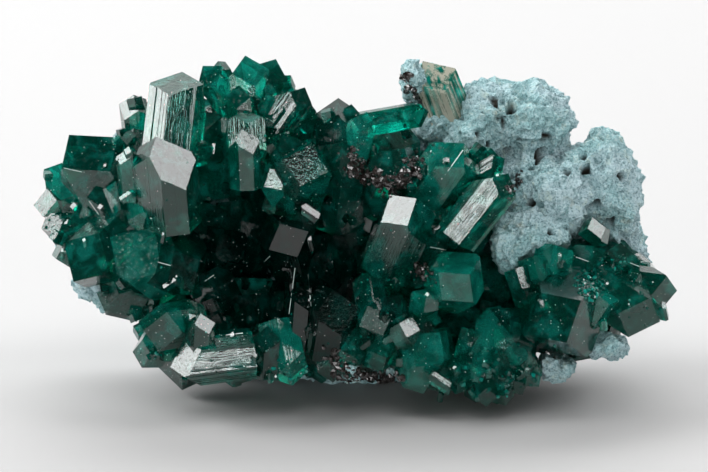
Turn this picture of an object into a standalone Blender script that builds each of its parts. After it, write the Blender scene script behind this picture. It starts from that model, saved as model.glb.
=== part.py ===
"""A loose specimen of dioptase: emerald-green hexagonal crystals, grown
together over a porous blue-grey rock.  Metres, +Z up, +X along the longest
side, front towards -Y.

Positions are stated the way they are read when the piece is looked at from
the front and 15 degrees from above: u to the right and v down, in picture
units of 0.075 mm, and a depth in millimetres towards the viewer.
"""
import math

import bpy
import bmesh
import numpy as np
from mathutils import Matrix, Vector, noise

# ------------------------------------------------------------------ sizes
UNIT = 0.075e-3                 # one picture unit
LOOK = math.radians(15.0)       # the front view looks down by this much
EYE = 0.420                     # distance of the eye
MID_U, MID_V, BASE_V = 354.0, 236.0, 407.0
RHOMB = math.radians(51.0)      # rhombohedron face normal from the c axis
GAP = 0.00020                   # clearance between neighbouring pieces

MASS, TOP, LONE = "crystal_cluster", "crystal_top_right", "crystal_on_matrix"

# Each crystal is a six-sided prism with three rhomb faces on its free end.
# Free-standing ones: u, v and depth of the tip; lean of the c axis in the
# picture (0 up, 90 right), tip of the axis towards the viewer, turn about
# the axis, radius in picture units, length in mm.
# Those with a clear rhomb face state that face by its four corners instead:
# tip, foot, and the two side corners, with the way the prism runs down.
# A last entry sets how far single faces stand in from the ideal form, as a
# share of the radius: 0 to 5 for the prism faces, 6 to 8 for the rhomb faces.
CRYSTALS = [
    # ground mass
    ("F1", MASS, 62, 168, 0.5, -60, 22, 38, 52, 8),
    ("F2", MASS, 38, 228, 0.5, -95, 5, 64, 44, 8),
    ("F3", MASS, 70, 278, 0.0, -125, 12, 58, 44, 8),
    ("F4", MASS, 150, 366, 0.5, -145, 12, 66, 46, 8),
    ("F5", MASS, 237, 388, 0.5, 178, 5, 55, 46, 8),
    ("F6", MASS, 190, 185, 1.2, -20, 62, 62, 60, 9),
    ("F7", MASS, 260, 235, 0.6, 0, 64, 66, 70, 9),
    ("F8", MASS, 183, 86, -1.0, -8, -4, 8, 48, 9),
    ("F9", MASS, 270, 68, -1.0, 10, -2, 34, 38, 9),
    ("F10", MASS, 333, 102, -0.5, 5, -4, 22, 44, 9),
    ("F11", MASS, 350, 230, 1.6, 0, 62, 64, 62, 9),
    ("F12", MASS, 324, 388, 0.0, 178, 8, 58, 46, 8),
    ("F13", MASS, 425, 235, 2.2, 20, 60, 54, 58, 9),
    ("F14", MASS, 426, 382, 0.5, 172, 12, 62, 44, 8),
    ("F15", MASS, 500, 315, 2.0, 150, 65, 0, 58, 9),
    ("F16", MASS, 618, 358, 0.0, 138, 10, 58, 50, 9),
    ("F17", MASS, 565, 262, 2.2, 20, 55, 62, 42, 8),
    ("F18", MASS, 676, 284, 0.0, 95, 4, 34, 38, 9),
    ("F19", MASS, 488, 406, 1.5, 176, 8, 64, 36, 7),
    ("F20", MASS, 440, 175, 1.2, 25, 45, 64, 42, 8),
    ("F21", MASS, 150, 235, 2.2, -40, 60, 62, 50, 9),
    ("F22", MASS, 396, 108, 0.0, 20, -4, 26, 36, 8),
    ("F23", MASS, 228, 140, 1.0, -5, 48, 58, 50, 8),
    ("F24", MASS, 102, 316, 0.5, -135, 10, 60, 36, 8),
    ("F25", MASS, 184, 394, 0.5, -172, 5, 64, 36, 8),
    ("F26", MASS, 258, 190, 1.0, 0, 58, 56, 52, 8),
    ("F27", MASS, 668, 318, 0.5, 118, 5, 62, 34, 9),
    ("F28", MASS, 478, 182, 4.4, 30, 34, 58, 44, 8),
    ("F29", MASS, 452, 150, 2.6, 24, 30, 60, 38, 8),
    ("F34", MASS, 490, 198, 8.0, 38, 40, 25, 19, 6.5),
    ("F30", MASS, 492, 290, 1.8, 10, 45, 60, 38, 8),
    ("F31", MASS, 268, 282, 2.0, 0, 62, 60, 34, 8),
    ("F32", MASS, 256, 190, 2.2, 0, 60, 30, 34, 8),
    ("F33", MASS, 322, 232, 2.8, 0, 60, 30, 30, 8),
    # upper left
    ("T1", MASS, (183, 71), (174, 95), (151, 83), (205, 87), (0.03, 1), 4.0, 7),
    ("L1", MASS, (132, 96), (122, 122), (119, 103), (140, 109), (0.10, 1), 2.0, 6),
    ("K1", MASS, (155, 136), (181, 186), (147, 171), (194, 153), (0.11, 1), 9.0, 7, {4: 0.40, 3: 0.15}),
    ("M1", MASS, 244, 109, 5.6, -3, -24, 12, 20, 3.6),
    ("M1b",MASS, 243, 128, 8.0, -2, 12, 35, 16, 4.5),
    ("T2", MASS, 201, 65, 3.0, -38, 10, 0, 18, 6),
    ("T2b",MASS, 240, 84, 4.5, -5, 10, -20, 16, 5),
    ("T3", MASS, 244, 53, 3.0, -2, 5, 30, 25, 6),
    ("T3b", MASS, 278, 58, 2.0, 22, 12, 0, 20, 6),
    ("T4", MASS, 305, 85, 4.6, 36, 5, 32, 19, 4.4),
    ("T4b",MASS, 268, 92, 5.0, -10, 20, 0, 16, 5),
    ("T5", MASS, 338, 95, 3.0, 0, 4, -60, 28, 6),
    ("T5b",MASS, 352, 103, 3.5, 5, 10, -10, 14, 6),
    ("T6", MASS, 298, 86, 3.0, 15, 15, 10, 26, 6),
    ("L2", MASS, 68, 131, 2.5, -30, 10, 20, 40, 6),
    ("L2b", MASS, 40, 170, 2.0, -62, 10, -10, 29, 6),
    ("L3", MASS, 32, 204, 2.0, -85, 8, 15, 17, 6),
    ("L3b",MASS, 40, 230, 3.0, -100, 20, 30, 18, 6),
    ("L4", MASS, 54, 258, 5.0, -115, 40, -15, 22, 6),
    ("L5", MASS, 70, 282, 6.5, -135, 28, 25, 31, 6),
    ("L6", MASS, 112, 236, 7.5, -50, 50, 8, 34, 7),
    ("L7", MASS, 86, 196, 5.5, -60, 45, 60, 26, 6),
    ("L8", MASS, 116, 180, 6.0, -20, 35, 50, 24, 6),
    ("L9", MASS, 126, 148, 7.5, -5, 16, -41, 11, 4),
    ("L10",MASS, 132, 126, 4.0, -15, 25, 30, 24, 6),
    ("L11", MASS, 140, 192, 7.0, -12, 35, 62, 20, 6),
    # lower left
    ("B1", MASS, 104, 314, 4.0, -140, 20, 58, 28, 6),
    ("B2", MASS, 165, 285, 8.0, -150, 62, -40, 30, 7),
    ("B3", MASS, (144, 331), (182, 334), (165, 314), (158, 352), (1, -0.15), 9.0, 5),
    ("B4", MASS, 201, 312, 9.0, 4, 17, 36, 14, 4),
    ("B5", MASS, 168, 366, 8.0, -97, 5, 25, 24, 6.4),
    ("B6", MASS, 236, 342, 8.0, 10, 62, 60, 22, 4),
    ("B7", MASS, 232, 390, 5.0, 176, 0, -15, 24, 4.5),
    ("B8", MASS, 268, 325, 7.5, 5, 25, 0, 16, 4),
    ("B9", MASS, 292, 388, 6.0, 168, 12, 60, 24, 5),
    ("B10", MASS, 142, 370, 5.0, -150, 15, 52, 20, 5),
    ("B11",MASS, 332, 384, 5.0, 175, 8, 0, 16, 5),
    ("B12", MASS, 350, 380, 6.0, 178, 15, 40, 20, 5),
    ("B13", MASS, 384, 375, 6.0, 172, 15, 40, 20, 5),
    ("B14", MASS, 448, 397, 5.5, 166, 10, 35, 18, 5),
    # middle
    ("K2", MASS, 222, 226, 5.2, 5, 52, 52, 26, 6),
    ("K3", MASS, 205, 270, 5.6, -20, 52, 66, 26, 6),
    ("K4", MASS, 205, 200, 4.2, 10, 40, 58, 24, 6),
    ("K5", MASS, 215, 148, 6.0, 80, 15, 30, 16, 5),
    ("K6", MASS, 240, 200, 3.6, 0, 48, 64, 30, 6),
    ("M2", MASS, 311, 141, 8.6, 18, 42, 5, 30, 7),
    ("M2b",MASS, 285, 132, 7.0, -5, 35, 30, 24, 6),
    ("M2c",MASS, 268, 168, 7.5, -30, 45, 0, 17, 5),
    ("M3", MASS, (280, 225), (297, 259), (267, 250), (307, 231), (0.25, 1), 8.0, 6),
    ("M4", MASS, 300, 208, 5.6, 15, 55, 56, 22, 5),
    ("M5", MASS, 255, 290, 5.4, -5, 50, 62, 30, 6),
    ("M6", MASS, 302, 285, 7.0, 5, 25, 30, 15, 5),
    ("M7", MASS, 335, 288, 8.5, 10, 44, 30, 27, 6),
    ("M8", MASS, 336, 232, 5.0, 10, 40, 66, 28, 6),
    ("M9", MASS, 345, 140, 5.5, 8, 30, 60, 28, 7),
    ("M10",MASS, 366, 110, 5.0, 15, 20, 0, 15, 5),
    ("M11",MASS, 430, 112, 4.0, 80, 5, 10, 14, 6),
    ("M12", MASS, 405, 148, 6.5, 25, 44, -12, 27, 6),
    ("M13", MASS, 362, 195, 4.6, 0, 36, 58, 26, 6),
    # centre
    ("C1", MASS, (415, 198), (378, 224), (408, 229), (391, 195), (-0.45, 1), 9.5, 7),
    ("C2", MASS, 464, 140, 7.5, 35, 30, -20, 25, 6),
    ("C2b",MASS, 435, 160, 6.5, 20, 50, -20, 20, 5),
    ("C3", MASS, 470, 272, 10.0, 60, 68, 20, 30, 6),
    ("C4", MASS, 425, 296, 8.5, 0, 70, 52, 16, 5),
    ("C5", MASS, 380, 296, 8.6, -30, 46, 30, 18, 5),
    ("C6", MASS, 398, 322, 9.0, -35, 50, 52, 15, 5),
    ("C7", MASS, 382, 338, 8.0, 170, 35, 20, 20, 5),
    ("C8", MASS, 442, 332, 8.5, 30, 42, -12, 24, 5),
    ("C9", MASS, 436, 386, 6.0, 158, 12, 62, 22, 5),
    ("C10", MASS, 398, 368, 5.0, 175, 15, 58, 18, 5),
    ("C11", MASS, 430, 225, 7.0, 10, 36, 56, 22, 6),
    ("C12", MASS, 350, 335, 7.0, 0, 65, 62, 24, 4.5),
    ("C13", MASS, 447, 208, 6.5, 20, 30, 60, 18, 5),
    # right
    ("W1", MASS, 509, 171, 9.5, 38, 12, 25, 21, 6.4),
    ("W2", MASS, 506, 158, 7.0, 60, 15, 0, 12, 5),
    ("W3", MASS, 492, 146, 6.0, 20, 30, 30, 16, 5),
    ("R1", MASS, 570, 345, 10.5, 172, 60, 28, 42, 7),
    ("R2", MASS, 612, 304, 8.5, 90, 58, 10, 25, 6),
    ("R3", MASS, 679, 291, 4.0, 97, 5, 15, 21, 6),
    ("R4", MASS, 662, 324, 6.0, 122, 18, 25, 28, 6),
    ("R5", MASS, 640, 256, 5.0, 60, 30, 62, 22, 6),
    ("R6", MASS, 590, 285, 7.5, 40, 46, 60, 24, 5),
    ("R7", MASS, 556, 243, 6.5, 10, 45, 56, 22, 5),
    ("R8", MASS, 534, 255, 7.0, -10, 45, 64, 20, 5),
    ("R9", MASS, 516, 268, 7.5, -20, 50, 58, 16, 5),
    ("R10", MASS, 592, 245, 6.0, 15, 40, 60, 20, 5),
    ("R11", MASS, 510, 305, 6.5, 0, 52, 62, 28, 6),
    ("R12", MASS, 545, 287, 8.0, -15, 45, 58, 24, 5),
    # bottom right
    ("D1", MASS, 500, 350, 7.5, 5, 50, 64, 20, 4.5),
    ("D2", MASS, 520, 366, 7.0, 150, 35, 58, 17, 5),
    ("D3", MASS, 478, 384, 7.0, -170, 30, 52, 17, 5),
    ("D4", MASS, 506, 407, 6.0, 168, 8, 56, 13, 5),
    ("D5", MASS, 456, 396, 6.0, -165, 10, 62, 15, 5),
    ("D6", MASS, 540, 388, 6.0, 150, 15, 15, 13, 4),
    ("D7", MASS, 468, 352, 7.0, -30, 50, 60, 18, 5),
    ("D8", MASS, 524, 322, 7.0, 20, 46, 62, 18, 5),
    ("D9", MASS, 476, 404, 5.0, 178, 8, 60, 12, 4),
    ("D11",MASS, 524, 396, 5.5, 160, 10, 20, 13, 4),
    ("D10",MASS, 486, 408, 6.5, 178, 10, 0, 12, 4),
    # on the matrix
    ("TR", TOP, 424, 58, -1.0, -22, 8, 10, 28, 5.8),
    ("S1", LONE, 588, 229, 5.2, -65, 68, 45, 14, 2.5),
]

# The rock, as overlapping lumps: u, v, depth, half width and half height in
# picture units, half depth in mm.
ROCK = [
    (504, 122, -2.0, 52, 42, 4.5), (478, 134, -1.5, 34, 30, 4.0), (540, 124, -2.5, 34, 42, 4.2),
    (596, 180, -1.0, 40, 47, 4.5), (560, 198, 0.5, 38, 38, 4.5), (608, 205, -1.0, 28, 38, 4.0),
    (530, 235, 3.0, 36, 26, 3.6), (505, 250, 4.2, 16, 24, 3.0), (525, 190, -1.0, 40, 40, 4.0),
    (440, 120, -3.0, 30, 24, 3.5),
    (300, 230, -6.2, 225, 118, 5.0), (560, 250, -4.5, 84, 92, 5.5),
    (350, 316, -6.5, 200, 68, 5.5), (200, 200, -4.0, 130, 88, 5.0),
    (92, 285, 1.2, 17, 9, 2.3), (557, 364, 3.6, 19, 12, 2.8), (606, 347, 3.4, 22, 12, 3.2),
    (412, 80, 1.0, 11, 20, 2.0), (432, 98, -2.6, 22, 26, 2.0), (352, 370, 4.0, 9, 10, 2.5),
]

# Dark crust between the crystals: u, v, depth of each grain and its radius.
CRUST = [
    (350, 158, 7.4, 8), (355, 167, 8.0, 8), (362, 175, 8.2, 8),
    (371, 180, 8.4, 8), (380, 185, 8.4, 8), (390, 187, 8.8, 8),
    (398, 181, 9.0, 8), (406, 176, 8.8, 8), (412, 168, 8.4, 8),
    (417, 160, 8.0, 7),
]


# --------------------------------------------------------------- geometry
def to_world(a, b, c):
    """Front-view right, up and towards the viewer -> world x, y, z."""
    return np.array([a,
                     b * math.sin(LOOK) - c * math.cos(LOOK),
                     b * math.cos(LOOK) + c * math.sin(LOOK)])


def spot(u, v, depth_mm):
    """World point that shows at u, v in the front view."""
    c = depth_mm * 1e-3
    k = (EYE - c) / EYE
    return to_world((u - MID_U) * UNIT * k,
                    (MID_V - v) * UNIT * k + (BASE_V - MID_V) * UNIT, c)


def view_axes(lean, tip, turn):
    """c axis and two cross axes in the front view, for arrays of angles."""
    l, t, w = np.radians(lean), np.radians(tip), np.radians(turn)
    A = np.stack([np.cos(t) * np.sin(l), np.cos(t) * np.cos(l), np.sin(t)], -1)
    E = np.stack([-np.sin(t) * np.sin(l), -np.sin(t) * np.cos(l), np.cos(t)], -1)
    F = np.cross(A, E)
    X = np.cos(w)[..., None] * E + np.sin(w)[..., None] * F
    return A, X, np.cross(A, X)


def from_corners(tip, foot, side1, side2, down):
    """Lean, tip, turn, radius and tip position of the crystal whose rhomb
    face shows these corners: every direction on a grid is tried and the
    grid is then narrowed around the best."""
    q = np.array([tip, foot, side1, side2], float)
    q[:, 1] *= -1
    dn = np.array([down[0], -down[1]], float)
    dn /= np.linalg.norm(dn)
    h = math.tan(RHOMB)
    best = [None]

    def search(ls, ts, ws):
        L, T, W = (g.ravel() for g in np.meshgrid(ls, ts, ws, indexing="ij"))
        A, X, Y = view_axes(L, T, W)
        for sg in (1, -1):
            loc = np.array([[0, 0, 0], [1, 0, -h],
                            [0.5, 0.866 * sg, -h / 2],
                            [0.5, -0.866 * sg, -h / 2]])
            P = (loc[None, :, 0, None] * X[:, None]
                 + loc[None, :, 1, None] * Y[:, None]
                 + loc[None, :, 2, None] * A[:, None])[..., :2]
            pm, qm = P - P.mean(1, keepdims=True), q - q.mean(0)
            R = (pm * qm).sum((1, 2)) / (pm ** 2).sum((1, 2))
            err = ((pm * R[:, None, None] - qm) ** 2).sum((1, 2))
            m = -A[:, :2]
            mn = np.linalg.norm(m, axis=1) + 1e-6
            err = err + 900 * (mn * (1 - (m @ dn) / mn)) ** 2
            err = err + 500 * (m @ np.array([dn[1], -dn[0]]) / (mn + 0.05)) ** 2
            facing = math.sin(RHOMB) * X[:, 2] + math.cos(RHOMB) * A[:, 2]
            err = err + np.where(facing < 0.1, 1e6, 0)
            err = err + np.where(R < 0, 1e6, 0) + 4.0 * (T < 0)
            i = int(np.argmin(err))
            if best[0] is None or err[i] < best[0][0]:
                o = q.mean(0) - R[i] * P[i].mean(0)
                best[0] = (err[i], L[i], T[i], W[i], R[i], o[0], -o[1])

    search(np.arange(-180, 180, 6.0), np.arange(-42, 79, 6.0),
           np.arange(-60, 60, 6.0))
    for step in (2.0, 0.5):
        _, l, t, w = best[0][:4]
        g = np.arange(-3, 4) * step
        search(l + g, np.clip(t + g, -45, 80), w + g)
    return best[0][1:]


def uneven(name):
    """Small differences in how far out each face has grown."""
    h = sum((i + 3) * ord(ch) for i, ch in enumerate(name))
    return ([0.06 * (math.sin(h * 1.7 + k * 2.3) + 1) for k in range(3)],
            [0.10 * math.sin(h * 1.7 + (k + 5) * 2.3) for k in range(6)])


def crystal_planes(row, grow=0.0):
    """Outward normal and a point for each face of one crystal."""
    name, rest = row[0], row[2:]
    dr, dp = uneven(name)
    own = {}
    if isinstance(rest[-1], dict):
        own, rest = rest[-1], rest[:-1]
    if isinstance(rest[0], tuple):
        lean, tip, turn, rad, u, v = from_corners(*rest[:5])
        depth, length = rest[5:7]
        dr = [0, 0, 0]
    else:
        u, v, depth, lean, tip, turn, rad, length = rest
    for k, x in own.items():
        if k < 6:
            dp[k] = x
        else:
            dr[k - 6] = x
    A, X, Y = (to_world(*a) for a in view_axes(lean, tip, turn))
    top, R = spot(u, v, depth), rad * UNIT
    out = []
    for k in range(3):
        az = math.radians(120 * k)
        n = (math.sin(RHOMB) * (math.cos(az) * X + math.sin(az) * Y)
             + math.cos(RHOMB) * A)
        out.append((n, top + n * (grow - dr[k] * R)))
    for k in range(6):
        az = math.radians(30 + 60 * k)
        n = math.cos(az) * X + math.sin(az) * Y
        out.append((n, top + n * (R * math.cos(math.radians(30))
                                  * (1 - dp[k]) + grow)))
    out.append((-A, top - A * (length * 1e-3 + grow)))
    return top, out


# ---------------------------------------------------------------- modelling
def collection(name):
    c = bpy.data.collections.new(name)
    bpy.context.scene.collection.children.link(c)
    return c


def add(name, mesh, coll):
    ob = bpy.data.objects.new(name, mesh)
    coll.objects.link(ob)
    return ob


def cut_crystal(row, coll, grow=0.0):
    """A cube, cut down by every face plane of the crystal."""
    top, faces = crystal_planes(row, grow)
    bm = bmesh.new()
    bmesh.ops.create_cube(bm, size=0.06)
    bmesh.ops.translate(bm, vec=Vector(top), verts=bm.verts)
    for n, p in faces:
        cut = bmesh.ops.bisect_plane(
            bm, geom=bm.verts[:] + bm.edges[:] + bm.faces[:], dist=1e-8,
            plane_co=Vector(p), plane_no=Vector(n), clear_outer=True)
        rim = [g for g in cut["geom_cut"] if isinstance(g, bmesh.types.BMEdge)]
        if rim:
            bmesh.ops.contextual_create(bm, geom=rim)
    bmesh.ops.recalc_face_normals(bm, faces=bm.faces)
    me = bpy.data.meshes.new(row[0])
    bm.to_mesh(me)
    bm.free()
    return add(row[0], me, coll)


def evaluated(ob):
    dg = bpy.context.evaluated_depsgraph_get()
    return bpy.data.meshes.new_from_object(ob.evaluated_get(dg))


def boolean(ob, operation, other):
    m = ob.modifiers.new("solid", "BOOLEAN")
    m.operation, m.solver = operation, "EXACT"
    if isinstance(other, bpy.types.Collection):
        m.operand_type, m.collection = "COLLECTION", other
    else:
        m.object = other
    me = evaluated(ob)
    ob.modifiers.remove(m)
    return me


def shells(bm):
    """Connected shells of a mesh, each as a list of faces."""
    left, out = set(bm.faces), []
    while left:
        todo = [left.pop()]
        shell = []
        while todo:
            f = todo.pop()
            shell.append(f)
            for e in f.edges:
                for g in e.link_faces:
                    if g in left:
                        left.discard(g)
                        todo.append(g)
        out.append(shell)
    return out


def shell_volume(faces):
    vol = 0.0
    for f in faces:
        c = [v.co for v in f.verts]
        for i in range(1, len(c) - 1):
            vol += c[0].dot(c[i].cross(c[i + 1])) / 6.0
    return vol


def one_body(mesh):
    """Keep the largest outer shell: no enclosed pockets, no loose chips."""
    bm = bmesh.new()
    bm.from_mesh(mesh)
    bmesh.ops.remove_doubles(bm, verts=bm.verts, dist=2e-6)
    bmesh.ops.dissolve_degenerate(bm, edges=bm.edges, dist=2e-6)
    sets = sorted(shells(bm), key=shell_volume, reverse=True)
    print("shells", [(len(s), round(shell_volume(s) * 1e9, 2))
                     for s in sets[:6]])
    bmesh.ops.delete(bm, geom=[f for s in sets[1:] for f in s],
                     context="FACES")
    bmesh.ops.triangulate(bm, faces=bm.faces)
    bm.to_mesh(mesh)
    bm.free()
    return mesh


def joined(rows, name, coll, tmp, grow=0.0):
    """Every crystal of one piece, grown into a single solid."""
    cell = collection(name + "_cells")
    obs = [cut_crystal(r, cell, grow) for r in rows]
    first = obs[0]
    cell.objects.unlink(first)
    tmp.objects.link(first)
    me = boolean(first, "UNION", cell) if len(obs) > 1 else evaluated(first)
    for o in obs:
        bpy.data.objects.remove(o)
    bpy.data.collections.remove(cell)
    return add(name, one_body(me), coll)


def lump(c, r, k, detail, rough):
    """One rounded lump of rock with an uneven surface."""
    bm = bmesh.new()
    bmesh.ops.create_icosphere(bm, subdivisions=detail, radius=1.0)
    ax = [to_world(1, 0, 0), to_world(0, 1, 0), to_world(0, 0, 1)]
    for v in bm.verts:
        d = v.co.copy()
        s = 1.0 + rough * noise.noise(d * 1.7 + Vector((3.1 * k, 1.3, 0.7 * k)))
        p = c + s * (d.x * r[0] * ax[0] + d.y * r[1] * ax[1]
                     + d.z * r[2] * ax[2])
        v.co = Vector(p)
    me = bpy.data.meshes.new("lump")
    bm.to_mesh(me)
    bm.free()
    return me


def merge(meshes, name, coll):
    bm = bmesh.new()
    for me in meshes:
        bm.from_mesh(me)
    out = bpy.data.meshes.new(name)
    bm.to_mesh(out)
    bm.free()
    return add(name, out, coll)


def rock(name, coll, voxel, floor):
    lumps = [lump(spot(u, v, c), (ru * UNIT, rv * UNIT, rc * 1e-3), k, 4, 0.18)
             for k, (u, v, c, ru, rv, rc) in enumerate(ROCK)]
    ob = merge(lumps, name, coll)
    m = ob.modifiers.new("skin", "REMESH")
    m.mode, m.voxel_size = "VOXEL", voxel
    me = evaluated(ob)
    ob.modifiers.clear()
    bm = bmesh.new()
    bm.from_mesh(me)
    bm.normal_update()
    for v in bm.verts:
        w = v.co * 1000.0
        s = (0.42 * noise.noise(w * 0.42) + 0.22 * noise.noise(w * 1.05))
        v.co += v.normal * s * 1e-3
    cut = bmesh.ops.bisect_plane(
        bm, geom=bm.verts[:] + bm.edges[:] + bm.faces[:], dist=1e-7,
        plane_co=Vector((0, 0, floor)), plane_no=Vector((0, 0, -1)),
        clear_outer=True)
    rim = [g for g in cut["geom_cut"] if isinstance(g, bmesh.types.BMEdge)]
    bmesh.ops.holes_fill(bm, edges=rim, sides=0)
    bmesh.ops.recalc_face_normals(bm, faces=bm.faces)
    bm.to_mesh(me)
    bm.free()
    ob.data = one_body(me)
    return ob


def grains(name, coll, grow=0.0):
    """The crust: a run of rough grains, stuck together."""
    tmp = collection(name + "_grains")
    obs = []
    for k, (u, v, c, r) in enumerate(CRUST):
        bm = bmesh.new()
        bmesh.ops.create_icosphere(bm, subdivisions=1, radius=1.0)
        o = spot(u, v, c)
        for vt in bm.verts:
            s = 1.0 + 0.22 * noise.noise(vt.co * 1.9 + Vector((k, 2.0 * k, 0)))
            vt.co = Vector(o) + vt.co * (s * r * UNIT + grow)
        me = bpy.data.meshes.new("grain")
        bm.to_mesh(me)
        bm.free()
        obs.append(add("grain", me, tmp))
    first = obs[0]
    tmp.objects.unlink(first)
    coll.objects.link(first)
    me = boolean(first, "UNION", tmp)
    for o in obs:
        bpy.data.objects.remove(o)
    bpy.data.collections.remove(tmp)
    return add(name, one_body(me), coll)


def material(name, rgb, roughness, metallic=0.0, clear=0.0, ior=1.5):
    m = bpy.data.materials.new(name)
    m.use_nodes = True
    b = m.node_tree.nodes["Principled BSDF"]
    b.inputs["Base Color"].default_value = (*rgb, 1.0)
    b.inputs["Roughness"].default_value = roughness
    b.inputs["Metallic"].default_value = metallic
    b.inputs["Transmission Weight"].default_value = clear
    b.inputs["IOR"].default_value = ior
    m.diffuse_color = (*rgb, 1.0)
    return m


def main():
    for ob in list(bpy.data.objects):
        bpy.data.objects.remove(ob, do_unlink=True)
    piece = collection("dioptase")
    work = collection("work")

    rows = {n: [r for r in CRYSTALS if r[1] == n] for n in (MASS, TOP, LONE)}
    cluster = joined(rows[MASS], MASS, piece, work)
    top = joined(rows[TOP], TOP, piece, work)
    lone = joined(rows[LONE], LONE, piece, work)

    # the dark crust sits in a hollow of the cluster, clear all round
    crust = grains("dark_crust", piece)
    room = grains("crust_room", work, grow=GAP)
    cluster.data = one_body(boolean(cluster, "DIFFERENCE", room))
    socket = joined(rows[LONE], "socket", work, work, grow=GAP)
    cluster.data = one_body(boolean(cluster, "DIFFERENCE", socket))

    # the rock reaches down to the level of the lowest crystal corner
    floor = min(v.co.z for v in cluster.data.vertices)
    matrix = rock("matrix", piece, 0.00169, floor)
    bed = joined(rows[MASS], "bed", work, work, grow=GAP)
    hole = joined(rows[TOP], "hole", work, work, grow=GAP)
    for cutter in (bed, hole, socket, room):
        matrix.data = one_body(boolean(matrix, "DIFFERENCE", cutter))

    for ob in list(work.objects):
        bpy.data.objects.remove(ob, do_unlink=True)
    bpy.data.collections.remove(work)

    # stand it on z = 0, centred
    pts = np.array([v.co for ob in piece.objects for v in ob.data.vertices])
    lo, hi = pts.min(0), pts.max(0)
    shift = Vector((-(lo[0] + hi[0]) / 2, -(lo[1] + hi[1]) / 2, -lo[2]))
    print("shift", [round(x * 1000, 4) for x in shift],
          "size", [round(x * 1000, 2) for x in hi - lo])
    green = (0.004, 0.16, 0.11)
    for ob, rgb, rough, clear, ior in (
            (cluster, green, 0.05, 0.9, 1.67), (top, green, 0.05, 0.9, 1.67),
            (lone, green, 0.05, 0.9, 1.67),
            (matrix, (0.33, 0.46, 0.50), 0.9, 0.0, 1.5),
            (crust, (0.018, 0.011, 0.010), 0.35, 0.0, 1.6)):
        ob.data.transform(Matrix.Translation(shift))
        ob.data.materials.clear()
        ob.data.materials.append(
            material(ob.name + "_look", rgb, rough, 0.0, clear, ior))
        print(ob.name, len(ob.data.polygons))


main()
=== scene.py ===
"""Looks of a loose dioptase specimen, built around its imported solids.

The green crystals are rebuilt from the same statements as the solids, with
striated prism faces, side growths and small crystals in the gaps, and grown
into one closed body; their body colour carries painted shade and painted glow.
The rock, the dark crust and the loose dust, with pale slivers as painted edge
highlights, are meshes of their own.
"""
import math
import random

import bpy
import bmesh
import numpy as np
from mathutils import Matrix, Vector, noise
from mathutils.bvhtree import BVHTree


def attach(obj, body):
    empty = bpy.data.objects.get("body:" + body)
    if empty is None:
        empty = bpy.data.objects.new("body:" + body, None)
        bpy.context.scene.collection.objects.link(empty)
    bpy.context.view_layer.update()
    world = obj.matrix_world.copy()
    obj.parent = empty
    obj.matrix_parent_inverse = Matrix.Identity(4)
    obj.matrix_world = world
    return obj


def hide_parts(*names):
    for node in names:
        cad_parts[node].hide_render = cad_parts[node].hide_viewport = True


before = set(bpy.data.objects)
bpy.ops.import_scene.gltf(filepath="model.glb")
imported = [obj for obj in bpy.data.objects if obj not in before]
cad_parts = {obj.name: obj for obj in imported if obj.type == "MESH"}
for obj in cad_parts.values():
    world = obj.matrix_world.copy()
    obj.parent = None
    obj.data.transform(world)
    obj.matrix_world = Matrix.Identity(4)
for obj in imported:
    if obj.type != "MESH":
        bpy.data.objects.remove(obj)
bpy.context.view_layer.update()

UNIT = 0.075e-3                 # one picture unit
LOOK = math.radians(15.0)       # the front view looks down by this much
EYE = 0.420                     # distance of the eye
MID_U, MID_V, BASE_V = 354.0, 236.0, 407.0
RHOMB = math.radians(51.0)      # rhombohedron face normal from the c axis
SHIFT = np.array([-0.0362e-3, -3.1067e-3, -0.676e-3])   # where the solids' frame starts

MASS, TOP, LONE = "crystal_cluster", "crystal_top_right", "crystal_on_matrix"

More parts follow.
